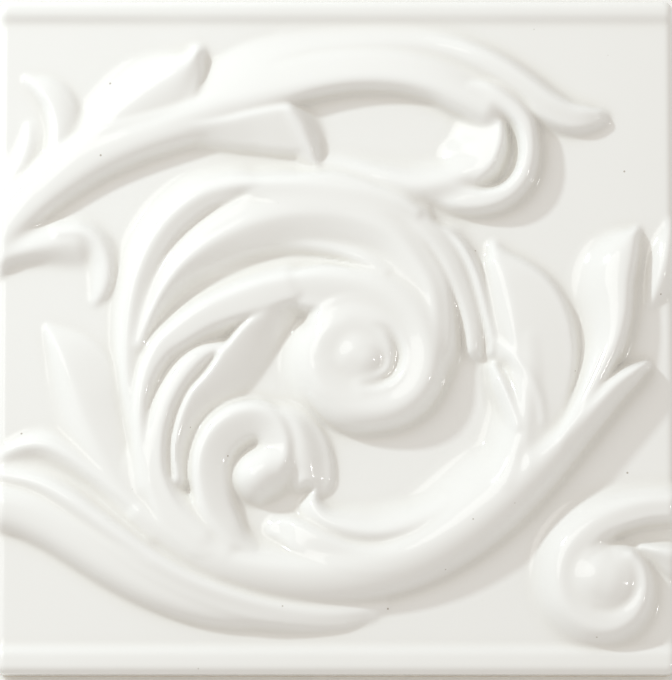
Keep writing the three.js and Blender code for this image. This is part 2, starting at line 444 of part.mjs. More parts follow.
// Grid lines across the face: even inside, closer along the rounded edge
function gridLines() {
  const inner = half - FACE_EDGE_RADIUS;
  const lines = [];
  for (let i = EDGE_DIVISIONS; i > 0; i -= 1) {
    const turn = (i / EDGE_DIVISIONS) * (Math.PI / 2);
    lines.push(-inner - FACE_EDGE_RADIUS * Math.sin(turn));
  }
  for (let i = 0; i <= FACE_DIVISIONS; i += 1) {
    lines.push(-inner + (2 * inner * i) / FACE_DIVISIONS);
  }
  for (let i = 1; i <= EDGE_DIVISIONS; i += 1) {
    const turn = (i / EDGE_DIVISIONS) * (Math.PI / 2);
    lines.push(inner + FACE_EDGE_RADIUS * Math.sin(turn));
  }
  return lines;
}

// Plan point moved onto the rounded corners
function roundedPlan(x, y) {
  const flat = half - CORNER_RADIUS;
  const px = Math.abs(x) - flat;
  const py = Math.abs(y) - flat;
  if (px <= 0 || py <= 0) return [x, y];
  const pull = Math.max(px, py) / Math.hypot(px, py);
  return [Math.sign(x) * (flat + px * pull), Math.sign(y) * (flat + py * pull)];
}

function buildTile() {
  const lines = gridLines();
  const count = lines.length;
  const last = count - 1;
  const positions = [];
  const triangles = [];
  const at = (i, j) => j * count + i;

  for (let j = 0; j < count; j += 1) {
    for (let i = 0; i < count; i += 1) {
      const [x, y] = roundedPlan(lines[i], lines[j]);
      const inset = half - Math.max(Math.abs(lines[i]), Math.abs(lines[j]));
      positions.push(x, y, BODY_THICKNESS + reliefAt(x, y) - edgeDrop(inset));
    }
  }
  const zAt = (index) => positions[index * 3 + 2];
  for (let j = 0; j < last; j += 1) {
    for (let i = 0; i < last; i += 1) {
      const a = at(i, j);
      const b = at(i + 1, j);
      const c = at(i + 1, j + 1);
      const d = at(i, j + 1);
      if (Math.abs(zAt(a) - zAt(c)) < Math.abs(zAt(b) - zAt(d))) {
        triangles.push(a, b, c, a, c, d);
      } else {
        triangles.push(a, b, d, b, c, d);
      }
    }
  }

  // Outline of the face, counterclockwise
  const outline = [];
  for (let i = 0; i < last; i += 1) outline.push(at(i, 0));
  for (let j = 0; j < last; j += 1) outline.push(at(last, j));
  for (let i = last; i > 0; i -= 1) outline.push(at(i, last));
  for (let j = last; j > 0; j -= 1) outline.push(at(0, j));

  const wallFoot = positions.length / 3;
  for (const index of outline) {
    positions.push(positions[index * 3], positions[index * 3 + 1], BACK_ARRIS);
  }
  const backEdge = positions.length / 3;
  const shrink = (half - BACK_ARRIS) / half;
  for (const index of outline) {
    positions.push(positions[index * 3] * shrink, positions[index * 3 + 1] * shrink, 0);
  }
  const backCentre = positions.length / 3;
  positions.push(0, 0, 0);

  const turn = outline.length;
  for (let k = 0; k < turn; k += 1) {
    const next = (k + 1) % turn;
    triangles.push(outline[k], wallFoot + k, wallFoot + next, outline[k], wallFoot + next, outline[next]);
    triangles.push(wallFoot + k, backEdge + k, backEdge + next, wallFoot + k, backEdge + next, wallFoot + next);
    triangles.push(backEdge + k, backCentre, backEdge + next);
  }

  const geometry = new THREE.BufferGeometry();
  geometry.setAttribute('position', new THREE.Float32BufferAttribute(positions, 3));
  geometry.setIndex(triangles);
  geometry.computeVertexNormals();
  return geometry;
}

const glaze = new THREE.MeshStandardMaterial({ color: 0xf4f2ec, roughness: 0.08, metalness: 0 });
glaze.name = 'glaze';

const tile = new THREE.Mesh(buildTile(), glaze);
tile.name = 'relief_tile';

const group = new THREE.Group();
group.name = 'ceramic_relief_tile';
group.add(tile);

export default group;
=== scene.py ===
# Glazed ceramic relief tile with an acanthus scroll, lying on its back on a pale floor
import math

import bpy
import numpy as np
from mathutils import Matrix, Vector


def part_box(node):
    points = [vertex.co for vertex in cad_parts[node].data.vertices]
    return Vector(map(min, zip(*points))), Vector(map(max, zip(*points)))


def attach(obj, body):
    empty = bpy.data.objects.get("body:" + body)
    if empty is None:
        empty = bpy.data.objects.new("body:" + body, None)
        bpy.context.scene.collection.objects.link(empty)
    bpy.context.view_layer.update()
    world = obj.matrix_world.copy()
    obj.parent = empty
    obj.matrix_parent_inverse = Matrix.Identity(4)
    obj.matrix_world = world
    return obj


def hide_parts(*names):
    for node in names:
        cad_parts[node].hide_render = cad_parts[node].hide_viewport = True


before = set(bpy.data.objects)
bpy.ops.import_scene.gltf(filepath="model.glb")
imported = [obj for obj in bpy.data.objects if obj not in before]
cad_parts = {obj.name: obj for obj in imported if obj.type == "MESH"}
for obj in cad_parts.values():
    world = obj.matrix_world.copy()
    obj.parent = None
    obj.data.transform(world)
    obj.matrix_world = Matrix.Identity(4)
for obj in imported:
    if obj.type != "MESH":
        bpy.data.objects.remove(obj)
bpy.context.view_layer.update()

MM = 0.001

# Tile body, in millimetres: its side and its greatest height come from the frame
LOW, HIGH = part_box("relief_tile")
TILE_SIDE = (HIGH[0] - LOW[0]) / MM
TILE_TOP = HIGH[2] / MM
BODY_THICKNESS = 9.5
CORNER_RADIUS = 2.2
FACE_EDGE_RADIUS = 1.9
BACK_ARRIS = 0.8

# Raised border along the top and bottom edges of the face
RIM_HEIGHT = 1.2
TOP_RIM_FLAT = 2.8
TOP_RIM_SLOPE = 2.6
BOTTOM_RIM_FLAT = 4.4
BOTTOM_RIM_SLOPE = 2.6

# Ornament, drawn in millimetres on the tile's own square
FOOT_SLOPE = 1.7
LEAST_BLEND = 0.3
STROKE_MARGIN = 5
CREST_ROUNDING = 0.1
NARROWEST_REACH = 0.05
NEARNESS = 8
SPLINE_STEPS = 6
ROUND_FULLNESS = 0.62
STEEP_SHOULDER = 3.2
STEEP_FULLNESS = 0.8
FLAT_CURVE = 1.25

# The glaze softens the relief, and pools where the face lies lower than what is around it
GLAZE_SOFTENING = 0.5
POOLING_REACH = 1.6
POOLING_DEPTH = 0.9

# Facets of the modelled face, and the sharpest turn that is still shaded smooth, in degrees
FACE_DIVISIONS = 284
EDGE_DIVISIONS = 6
SMOOTH_TURN = 50
SMALLEST_LENGTH = 1e-9

# Glaze on the side walls stops at an uneven line this far over the back
GLAZE_LINE = 3.2
GLAZE_LINE_WAVER = 2.2
GLAZE_LINE_BLUR = 0.15

# Colours of the glaze, the body and the floor
THIN_GLAZE = (0.90, 0.895, 0.875, 1)
EVEN_GLAZE = (0.885, 0.878, 0.855, 1)
POOLED_GLAZE = (0.85, 0.835, 0.795, 1)
CLOUD_SHADE = (0.96, 0.955, 0.945, 1)
SPECK_BROWN = (0.33, 0.28, 0.21, 1)
DARK_GRAIN = (0.60, 0.52, 0.40, 1)
LIGHT_GRAIN = (0.76, 0.69, 0.57, 1)
FLOOR_WHITE = (0.93, 0.925, 0.91, 1)
PLAIN_WHITE = (1, 1, 1, 1)

# Finish of the glaze and the body: patterns repeat this many times in a metre
CLOUD_SCALE = 38
CLOUD_SHARE = 0.5
PINHOLE_SCALE = 110
PINHOLE_CORE = 0.014
PINHOLE_RIM = 0.036
PINHOLE_STRENGTH = 0.75
WAVER_SCALE = 90
GRAIN_SCALE = 900
PEEL_SCALE = 260
GLAZE_ROUGHNESS = 0.09
BODY_ROUGHNESS = 0.85
FLOOR_ROUGHNESS = 0.6
GLAZE_IOR = 1.52
SKIN_STRENGTH = 0.12
SKIN_DEPTH = 0.05

# Room, in metres
FLOOR_SIDE = 3
LAMP_TARGET = Vector((0, 0, 0.01))
ROOM_COLOUR = (1, 0.965, 0.92, 1)
ROOM_STRENGTH = 0.65

# The photograph's view, in metres and degrees: from above, with the tile as wide as the picture
CAMERA_DISTANCE = 1.6
CAMERA_ELEVATION = 83.5
CAMERA_AIM = Vector((0, -0.0009, BODY_THICKNESS * MM))
VIEW_WIDTH = 0.1527

# Raised strokes, root to tip: name, left profile, left foot, right profile, right foot, blend, points
# A foot is the share of the height that is left where the reach ends
# Each point: x, y, reach to the left, reach to the right, height over the field
RAISED = [
    ["small leaf, crest", "soft", 0, "domed", 0.3, 1.2, [
        [-80, 15, 3, 4, 2.4], [-75.6, 20, 2.6, 5, 2.6], [-71.8, 27, 2.4, 5.4, 2.8],
        [-67.5, 33.5, 2.4, 5.6, 2.9], [-64, 39.5, 2.4, 5, 2.9], [-63, 46, 2.4, 5, 2.8],
        [-64.2, 51.4, 2.2, 6, 2.5], [-66.6, 55, 1.8, 4.4, 2], [-69.8, 58, 0.8, 1, 0.9],
    ]],
    ["small leaf, second fold", "soft", 0, "soft", 0, 1.6, [
        [-79, 27, 4, 4, 1.1], [-74.5, 33, 4, 4, 1.2], [-71, 38.4, 3.6, 3.4, 1.1],
        [-69.4, 43.4, 2.6, 3, 0.9], [-69, 47.4, 1.6, 2, 0.4],
    ]],
    ["large leaf", "soft", 0, "soft", 0.76, 1.6, [
        [-65, 33, 4, 3, 3], [-59.4, 39.4, 5.6, 4, 3.6], [-53.4, 45.6, 7.6, 6, 4],
        [-47.6, 50.6, 9.4, 7.4, 4.3], [-42.4, 54.4, 10.4, 8.2, 4.6], [-38, 57.2, 10, 8, 4.7],
        [-34.8, 59.6, 8.4, 5.6, 4.7], [-32.8, 61.6, 5.4, 2.6, 4.3], [-31.4, 64.2, 2, 0.8, 3.3],
    ]],
    ["upper stem", "soft", 0.86, "steep", 0, 1.2, [
        [-82, 13, 4, 3, 2.2], [-75.4, 22.6, 4, 4, 3], [-67, 31, 5, 4.6, 3.8],
        [-60, 37, 5, 5.6, 4.3], [-54, 41, 5, 6, 4.7], [-47, 44.2, 4, 6, 5],
        [-40, 46.6, 3.4, 5.8, 5.1], [-33, 49, 3, 6.2, 5], [-27, 51, 3, 7, 4.6],
        [-22, 52.4, 2, 6, 3.8],
    ]],
    ["arc of the upper stem", "flat", 0, "steep", 0, 1.4, [
        [-40, 48, 3, 3, 4], [-33, 50.4, 6, 4, 4.5], [-26, 52.2, 10.4, 5, 4.9],
        [-19, 53.8, 13, 5, 5.1], [-12, 55.4, 13.4, 4.4, 5.2], [-4, 57.2, 12.4, 3.6, 5.2],
        [5, 58.4, 11.8, 3.4, 5.2], [14, 58.2, 11.4, 3.4, 5.2], [22, 56.7, 10.4, 3.8, 5.2],
        [29, 54.2, 8, 4.8, 5.2], [34, 52, 5, 5, 5.2],
    ]],
    ["hanging leaf", "flat", 0, "flat", 0.5, 0.8, [
        [-36, 47.2, 2, 2, 4.6], [-30, 47.6, 2, 3.6, 5], [-24, 48.6, 3, 5.6, 5.2],
        [-19, 49.8, 3, 7.4, 5.3], [-14, 50.8, 3, 9.4, 5.3], [-10.6, 51.2, 2, 10.4, 5.1],
    ]],
    ["hanging leaf, turned edge", "soft", 0, "soft", 0.5, 1, [
        [-12.4, 51.4, 2, 2.4, 4.6], [-10.4, 50.6, 3.8, 4.2, 5.1], [-8.4, 47.6, 4.8, 4.4, 4.7],
        [-6.8, 44.2, 4.4, 4, 3.9], [-5.2, 41, 3, 2.6, 2.8], [-3.8, 38, 0.8, 0.8, 1],
    ]],
    ["outer leaf of the arc", "soft", 0, "soft", 0.82, 1.6, [
        [-10, 65.4, 5, 4, 0.4], [0, 66.4, 5, 4, 0.6], [10, 67, 4.6, 4.4, 0.9],
        [19, 66.8, 4, 4.8, 1.7], [26, 65.8, 3.6, 5.2, 2.7], [32, 64, 3.2, 5.4, 3.6],
        [38, 61.2, 3, 5.4, 4.1], [43.6, 57.4, 3, 5.2, 4.3], [48.4, 53.8, 2.8, 5, 4.2],
        [52.6, 51.6, 2.2, 4.6, 3.9], [56.4, 50.8, 1.8, 4, 3.5], [59.2, 50.6, 1, 2, 2.7],
    ]],
    ["hook, outer ring", "steep", 0, "steep", 0.95, 0.9, [
        [31, 55.4, 3, 3, 4.2], [35.8, 54.6, 3.6, 4, 4.9], [39.8, 52, 3.2, 3, 5.1],
        [42.6, 48.4, 2.6, 2, 5.2], [43.6, 44, 2.4, 1.8, 5.2], [43.5, 39.6, 2.4, 1.8, 5.2],
        [42.1, 35.4, 2.5, 1.9, 5.1], [39.3, 32.2, 2.6, 2, 5], [35.6, 30.4, 2.8, 2.2, 4.8],
        [31, 29.8, 2.8, 2.6, 4.3], [26.4, 30.4, 2.8, 3.4, 3.6], [22.6, 32, 2.6, 4, 2.6],
    ]],
    ["hook, inner slope", "soft", 0, "flat", 0, 2.4, [
        [37.6, 47.6, 2, 8, 4], [37, 42.6, 2.6, 12, 4.6], [35, 38, 2.8, 13, 4.7],
        [32, 35.2, 2, 10, 4.2],
    ]],
    ["left hook", "soft", 0, "soft", 0, 1.4, [
        [-80, 14.8, 10, 3.4, 2.4], [-74, 17.8, 9, 3.6, 2.8], [-68, 19.6, 8, 4.4, 3],
        [-63, 20.8, 7, 6, 3], [-59, 21.6, 6, 8, 2.8],
    ]],
    ["left hook, turned end", "soft", 0, "soft", 0, 1.6, [
        [-63, 22.6, 4, 1, 2.8], [-57.6, 23.2, 4.2, 3, 2.9], [-53.6, 21, 3.8, 4.6, 2.8],
        [-51.6, 17, 3.4, 5, 2.6], [-51.4, 13, 3, 5, 2.2], [-52.4, 9.8, 2.4, 4, 1.5],
        [-53.8, 7.6, 1, 2, 0.7],
    ]],
    ["left leaf, blade", "soft", 0, "flat", 0.3, 1.4, [
        [-41, -45, 6, 5, 3.6], [-46.6, -36.6, 8, 6, 3.6], [-52, -28, 8, 7, 3.4],
        [-55.8, -19.6, 7.2, 8, 3.1], [-58.4, -12, 6.4, 10.4, 2.9], [-60.8, -6, 4.8, 9, 2.6],
        [-63.2, -1.6, 2.4, 5, 1.9], [-65, 1.6, 0.6, 1, 0.8],
    ]],
    ["fold under the left leaf", "soft", 0, "soft", 0, 1.4, [
        [-75, -27, 1.6, 2, 0.5], [-71, -25.2, 3.2, 3, 1.8], [-65.6, -24.8, 4.6, 3.6, 2.6],
        [-60, -27.2, 4.6, 4, 3.1], [-53.6, -31.8, 4.4, 4, 3.5], [-47, -37, 4.4, 4.2, 3.9],
        [-41, -41.8, 4.2, 4.2, 4.4], [-34, -46.6, 4, 4.4, 4.8],
    ]],
    ["base of the scroll lobes", "soft", 0, "soft", 0.5, 1, [
        [-42, -34, 7, 5, 4.2], [-43.4, -20, 3, 4, 3.8], [-43, -6, 3, 5, 2.8], [-38, 5, 5, 6, 1.2],
        [-31, 12, 6, 7, 0.5], [-22, 18, 8, 8, 0.4], [-11, 19, 10, 10, 0.5], [0, 18, 12, 12, 1.6],
        [9, 16, 12, 12, 3.4], [17, 10, 12, 12, 4.6], [20, 0, 8, 10, 4.6],
    ]],
    ["spiral, outer lobe", "soft", 0, "soft", 0.78, 1.2, [
        [-43.6, -28, 4, 4, 3.2], [-46.6, -12, 3, 2.6, 3.2], [-47, -3, 3.8, 3, 3.4],
        [-46, 7, 5, 3, 3.9], [-44, 14.5, 6, 3, 4.3], [-40.8, 21.4, 6.8, 3.4, 4.6],
        [-36.4, 27, 7, 3.6, 4.9], [-30.4, 31.4, 7, 3.4, 5], [-24, 33.6, 6, 3, 5],
        [-19.8, 34.2, 5, 2, 4.8], [-17.6, 34, 3.4, 1.2, 4.5],
    ]],
    ["spiral, second lobe", "soft", 0.78, "flat", 0, 1.4, [
        [-43.8, -2.4, 1.6, 2, 3.6], [-41.4, 4.2, 2, 2.8, 4.1], [-38.4, 10.2, 2.6, 4.2, 4.6],
        [-34.4, 15.4, 3.4, 5.6, 5], [-29.2, 19.6, 4.4, 7.4, 5.2], [-23, 23, 5.4, 8.6, 5.3],
        [-15.6, 25.8, 7, 9.2, 5.4], [-8, 27.2, 8, 9.6, 5.4], [0, 27, 9, 10, 5.4],
        [7, 25.2, 8, 10, 5.5], [13, 21.8, 5, 10, 5.5], [17.6, 16.4, 4, 10, 5.6],
        [20.8, 10.6, 4, 10, 5.8], [22, 4, 3.6, 8, 5.9], [22.2, -3, 3.2, 6, 5.9],
        [21, -8, 2, 4, 5.4],
    ]],
    ["spiral, low ridge", "soft", 0.8, "steep", 0.2, 0.6, [
        [-25, 14.8, 1.2, 1.4, 0.6], [-19, 18, 2, 1.6, 1.3], [-12.6, 19.8, 2.6, 1.8, 2],
        [-6, 20.2, 2.8, 2, 2.5], [1, 19, 2.8, 2, 3], [6.6, 16.8, 2.6, 1.8, 3.8],
        [11, 13.8, 2, 1.5, 4.4],
    ]],
    ["spiral band and coil", "soft", 0, "domed", 0.93, 1, [
        [-41, -36, 4, 3, 4.4], [-43.6, -26, 3, 2, 4.6], [-44.4, -17, 2.6, 1.7, 4.9],
        [-43.2, -9, 3, 2.4, 5.1], [-40.2, -2.4, 3.4, 3.4, 5.4], [-36, 1.6, 4, 4.2, 5.6],
        [-30.6, 5.4, 4.4, 4.6, 5.8], [-25, 8, 5, 4.9, 5.8], [-18, 10.6, 5.4, 5.4, 5.8],
        [-11.6, 12.2, 5.6, 4.6, 5.7],
    ]],
    ["coil, outer turn", "round", 0, "soft", 0.84, 1.2, [
        [-17, 10.6, 1, 1, 4], [-12.6, 12, 2, 4, 5], [-8, 12.6, 3, 6.6, 5.4],
        [-2, 12.6, 4, 6.6, 5.6], [6, 11.2, 5, 6, 5.8], [12.6, 8.2, 6, 5, 6.1],
        [17.8, 3.6, 6.6, 5, 6.5], [20.4, -2.2, 5, 5.4, 6.8], [20.4, -8.2, 4.8, 6, 7],
        [18, -13.2, 4.6, 6, 7], [13.6, -16.2, 4.8, 6, 6.8], [8, -17, 5.2, 6, 6.5],
        [2.4, -15.8, 6, 7, 6.2], [-2.2, -12.4, 5, 8, 5.9], [-4.4, -8, 3, 8, 5.6],
    ]],
    ["coil, inner turn", "soft", 0, "soft", 0.9, 1.2, [
        [6, -15, 4, 6, 5.4], [1.4, -14.4, 6, 7, 5.7], [-2.4, -12, 8, 8, 5.9],
        [-4.6, -8, 8.6, 8, 6], [-4.4, -2.8, 8.6, 8, 6], [-1.6, 1, 6, 8, 6], [2.4, 3.2, 2, 8, 5.6],
    ]],
    ["coil, last turn", "soft", 0.82, "soft", 0.9, 1.2, [
        [-4.4, -4.6, 0.4, 8, 5.8], [-3.4, -1.4, 2.4, 8, 6], [-0.6, 1.8, 5, 8, 6.1],
        [4, 3.4, 5.4, 8, 6.1], [9.2, 2.4, 5, 6, 6.1], [12.8, -0.8, 4, 4, 6.1],
        [14.8, -5, 3.4, 3, 6], [14, -9.4, 3.4, 3, 6], [10.4, -12, 3.6, 3, 5.9],
        [6, -13, 3.6, 3, 5.8],
    ]],
    ["coil, button", "domed", 0.45, "domed", 0.45, 1.8, [
        [4.8, -4.6, 6.8, 6.8, 6.8], [5.8, -5, 6.8, 6.8, 6.8],
    ]],
    ["finger lobe", "soft", 0.6, "soft", 0.94, 1, [
        [-25.6, -3.4, 0.4, 0.8, 4.4], [-28.8, -5, 1.2, 2.2, 5], [-32, -7.8, 1.7, 2.8, 5.2],
        [-35.2, -12.2, 1.8, 2.8, 5.3], [-37.8, -18, 1.7, 2.8, 5.3], [-39, -25, 1.6, 3, 5.3],
        [-38.6, -32, 1.8, 3.4, 5.3], [-35.6, -39, 3, 4.4, 5.3], [-30, -45, 5, 5, 5.3],
    ]],
    ["slope under the band", "flat", 0, "soft", 0, 0.8, [
        [-11.8, 7.2, 4.4, 1.2, 4.2], [-16, 5, 7.4, 1.4, 5], [-20.6, 2, 9.8, 1.4, 5.2],
        [-25, -3.2, 10.6, 1.4, 5.2], [-29, -8.8, 9.6, 1.4, 5.2], [-32.6, -13, 8.4, 1.4, 5.1],
        [-35.2, -19, 6.6, 1.4, 5], [-36.4, -26, 5, 1.4, 4.8], [-35.6, -33, 3.6, 1.4, 4.6],
    ]],
    ["arc over the spiral, end lobe", "soft", 0, "soft", 0.9, 1.2, [
        [-26, 32.6, 3, 1, 4.2], [-20, 33.8, 4.6, 1.4, 4.8], [-13.4, 34, 5.4, 4, 5.1],
        [-7, 33.8, 5.4, 5, 5.2], [0, 33, 6, 5, 5.2], [8, 31.8, 6.4, 4, 5.1], [14, 30, 5.4, 3.6, 5],
        [18.2, 27.8, 3, 2.6, 4.6],
    ]],
    ["saddle between hook and scroll", "soft", 0, "soft", 0, 2, [
        [33, 38, 6, 6, 3.6], [25.6, 34.6, 7, 7, 4.2], [18, 33.6, 7, 7, 4.3], [10, 35.8, 5, 5, 3.4],
        [2, 38, 4, 4, 1.8], [-6, 39, 3, 3, 0.6],
    ]],
    ["ground under the ribs", "soft", 0, "soft", 0, 1.4, [
        [12, 30, 6, 6, 3.8], [20, 26, 6, 6, 3.4], [26, 19, 6, 6, 2.6], [30, 10, 5, 6, 1.8],
        [32, 0, 4, 5, 1.2],
    ]],
    ["first rib", "flat", 0.75, "steep", 0.2, 0.6, [
        [12, 28, 1.4, 1, 4.2], [18.4, 24, 2.6, 1.4, 4.6], [23.8, 17.8, 2.8, 1.6, 4.3],
        [27, 11, 2.8, 1.5, 3.9], [29, 5, 2.6, 1.4, 3.5], [30, 0, 2.4, 1.3, 3.1],
        [30.2, -3.4, 2, 1, 2.6],
    ]],
    ["second rib", "soft", 0, "steep", 0.4, 0.6, [
        [25, 23.6, 1.6, 1, 2.6], [28.6, 19.6, 2.2, 1.2, 3.5], [31.2, 14.6, 2.4, 1.3, 3.4],
        [32.8, 9, 2.4, 1.2, 3.3], [34, 4, 2.2, 1.2, 3.2], [35, -0.6, 2, 1.2, 3.1],
        [35, -4, 1.4, 1, 2.5],
    ]],
    ["small volute, ring", "round", 0, "flat", 0.6, 1, [
        [-19, -48.6, 1.6, 1.6, 4], [-23.6, -46.4, 3, 4, 5], [-28.4, -40.6, 2.8, 5.6, 5.3],
        [-30.6, -33, 2.3, 6.2, 5.5], [-30.2, -26.6, 2.5, 6.4, 5.6], [-27.4, -21.4, 2.9, 6.4, 5.7],
        [-23, -18.2, 3.2, 6.2, 5.7], [-18, -17.2, 3, 6, 5.6], [-13.8, -19, 3, 5.6, 5.5],
        [-11.4, -23, 2.4, 5, 5.4], [-11.2, -27, 2, 5, 5.3], [-12.8, -31, 2, 5, 5],
    ]],
    ["small volute, ball", "domed", 0.25, "domed", 0.25, 2, [
        [-17.6, -31.8, 5.6, 5.6, 6], [-15, -30, 5.8, 5.8, 6], [-12, -28.6, 4.4, 4.4, 5.5],
    ]],
    ["small volute, fin", "soft", 0.4, "soft", 0.8, 1, [
        [-16, -17.4, 1.2, 2, 3.4], [-12.4, -17.8, 2, 4, 4.2], [-9.2, -20.2, 3.6, 4, 4.6],
        [-7.8, -24, 5.2, 4, 4.6], [-7.4, -28.4, 6.6, 4, 4.2], [-7, -32, 5.6, 2, 3.6],
    ]],
    ["upper root", "soft", 0.15, "soft", 0.8, 0.8, [
        [-82, -30.6, 1.6, 2, 0.4], [-74, -31.4, 2.4, 3, 1.6], [-66.4, -33.2, 3.2, 4, 3.3],
        [-60, -36.4, 3.6, 4.4, 4.5], [-54, -40.6, 3.6, 4.4, 5.2], [-48, -45, 3.6, 4.4, 5.6],
        [-41, -50, 3.8, 4.4, 5.7], [-33, -54.6, 3.6, 4, 5.5], [-25, -57.8, 3.2, 4, 5],
        [-17, -60.2, 2.8, 4, 4.2], [-8, -61.8, 2.4, 3.6, 3], [1, -62.4, 2, 3, 1.9],
        [8, -61.6, 1.4, 2, 0.7],
    ]],
    ["lower root", "flat", 0.7, "steep", 0, 1.2, [
        [-79, -36.6, 3, 6.4, 3.8], [-70, -38.6, 3, 6.8, 4], [-63, -41.8, 3.6, 6.6, 4.2],
        [-56, -46, 4, 6.6, 4.4], [-49, -50.4, 4, 6.6, 4.5], [-41, -55, 4.6, 6.2, 4.4],
        [-33, -58.4, 4.6, 5.8, 4.1], [-25, -60.8, 4.2, 5, 3.6], [-17, -61.8, 4, 4.2, 3.1],
        [-8, -62, 3.6, 3.6, 2.6], [2, -61.6, 3, 2.8, 1.9], [10, -60.6, 2, 2, 0.7],
    ]],
    ["base of the stem", "soft", 0, "soft", 0.6, 1.6, [
        [-42.6, -22, 1, 1.6, 2], [-43, -31, 3.4, 5, 3.8], [-39.4, -38.6, 6, 6, 4.6],
        [-33, -44.6, 7, 6, 5], [-25, -49, 8, 6, 5.2],
    ]],
    ["main band", "soft", 0, "round", 0, 1, [
        [-44, -40, 6, 3.6, 4.4], [-37, -45, 7, 4.6, 4.8], [-29, -49, 8, 6, 5.2],
        [-20, -51.8, 8, 6.4, 5.5], [-10, -53.2, 9, 7, 5.7], [0, -53.2, 11, 7.4, 6],
        [10, -51.6, 11.6, 7.6, 6.4], [19, -48.6, 13, 7.6, 6.8], [27, -44.4, 15, 7.4, 7.1],
        [34, -39.4, 16, 7.2, 7.3], [40.6, -33.6, 15, 6.8, 7.4], [46.4, -28.2, 10, 6, 7.4],
        [51.8, -22.6, 6.6, 5.2, 7.3], [57, -17, 5.4, 4.6, 7.2], [62, -11.8, 4.8, 4, 7],
        [66.4, -8.4, 3.2, 3, 6.4], [69.4, -6.6, 1.2, 1.2, 5.2],
    ]],
    ["inner leaf, lower lobe", "soft", 0, "soft", 0.94, 1.6, [
        [-13, -41.8, 1.6, 3, 1.2], [-9, -42.6, 2.8, 5, 3.6], [-4, -45.2, 4, 5, 5],
        [3, -48.4, 5, 5, 5.6], [11, -49.8, 6, 4, 5.6], [18, -48.6, 4, 3, 5],
    ]],
    ["inner leaf, upper lobe", "soft", 0, "soft", 0.6, 1, [
        [-4.6, -34.6, 0.8, 1, 1.6], [-5, -38, 3, 2.4, 3], [-2.6, -41.6, 5, 3, 4],
        [3, -44, 7, 3, 4.9], [10, -44.8, 8, 3, 5.3], [18, -43, 8, 3, 5.2], [25, -39, 6, 3, 4.6],
    ]],
    ["middle leaf", "soft", 0, "flat", 0.68, 1.8, [
        [43, -30, 5, 4, 6.8], [42.6, -20, 5, 8, 6], [41.6, -10, 5, 11.4, 5.2],
        [40.6, -3, 5, 13.2, 4.8], [39.8, 3, 5.4, 12.8, 4.6], [38.8, 9, 5.4, 11, 4.2],
        [37.6, 13.4, 4.6, 7, 3.8], [36.4, 17, 3.6, 2.8, 2.9], [35.2, 19.8, 1.6, 1.2, 1.6],
    ]],
    ["middle leaf, left fold", "soft", 0, "soft", 0, 1.8, [
        [38, -4, 5, 5, 3], [37.2, 4, 5, 5, 3.2], [36.4, 11, 5, 5, 3], [35.4, 16, 3.6, 4, 2.4],
    ]],
    ["middle leaf, first inner lobe", "soft", 0, "soft", 0, 1.8, [
        [36, -1.2, 1.6, 2, 2.4], [39.4, -4.6, 3.6, 4, 4.6], [43, -9, 4, 4.6, 5.5],
        [45.6, -14.6, 3, 4.6, 5.6], [46.4, -20, 2, 4, 5.2],
    ]],
    ["middle leaf, second inner lobe", "soft", 0, "soft", 0, 1.6, [
        [35.2, -6.8, 1.4, 1.6, 2.6], [37, -10.6, 3, 3.4, 4.6], [39, -15.6, 3.6, 4, 5.8],
        [40.6, -21, 4, 4, 6.6],
    ]],
    ["base of the middle leaf", "soft", 0, "soft", 0, 1.4, [
        [38, -34, 11, 7, 7], [41, -26, 10, 7, 6.6], [42.6, -17, 9, 8, 6], [43.4, -9, 8, 8, 5.2],
        [43, -1, 6, 8, 4.2],
    ]],
    ["right leaf", "soft", 0, "steep", 0.2, 1.6, [
        [50, -24, 4, 3, 7], [55.2, -15.8, 5, 2.6, 6.6], [59.6, -8, 7, 2.4, 6.2],
        [62.6, -1.6, 9, 2.4, 5.9], [64, 5, 11.6, 2.6, 5.6], [64.2, 12, 13.4, 3, 5.2],
        [64.8, 17.4, 12, 3.4, 4.7], [66, 21.2, 6.6, 2.6, 3.8], [67.4, 23.8, 1, 1, 2.2],
    ]],
    ["leaf at the right side", "flat", 0, "soft", 0.4, 1, [
        [70.6, 7.2, 1, 1.2, 1.2], [72, 11, 2.6, 3, 2.2], [73.4, 16, 3.6, 4, 2.6],
        [74.6, 21, 3.4, 5, 2], [75.6, 25, 2, 3, 0.8],
    ]],
    ["corner volute, ring", "soft", 0.92, "soft", 0, 1.4, [
        [79, -37.6, 3.4, 5, 4.6], [70, -37.8, 3.6, 5.4, 4.8], [63, -39.8, 4, 7, 4.9],
        [56.8, -43.4, 4.6, 8.6, 4.9], [52, -48.6, 4.2, 8.6, 4.9], [50.4, -54.6, 4.2, 7.8, 4.9],
        [51.6, -60.6, 5, 7.2, 4.9], [56, -65, 5.4, 6.2, 4.9], [61.6, -66, 5.4, 5.2, 4.8],
        [66.4, -63.4, 5, 4.6, 4.8], [69, -58.4, 4.6, 3.4, 4.8], [68.8, -53, 4, 2.6, 4.8],
        [66, -49.4, 3.4, 2.4, 4.8],
    ]],
    ["corner volute, ball", "domed", 0.45, "domed", 0.45, 1.8, [
        [59, -54.6, 7.6, 7.6, 6.4], [60.6, -55, 7.6, 7.6, 6.4],
    ]],
    ["corner volute, outer leaf", "soft", 0, "soft", 0.4, 0.8, [
        [68, -47.4, 1.2, 1.2, 2.2], [72, -48.4, 2.6, 3, 3.2], [78, -50, 4, 5, 3.6],
    ]],
]

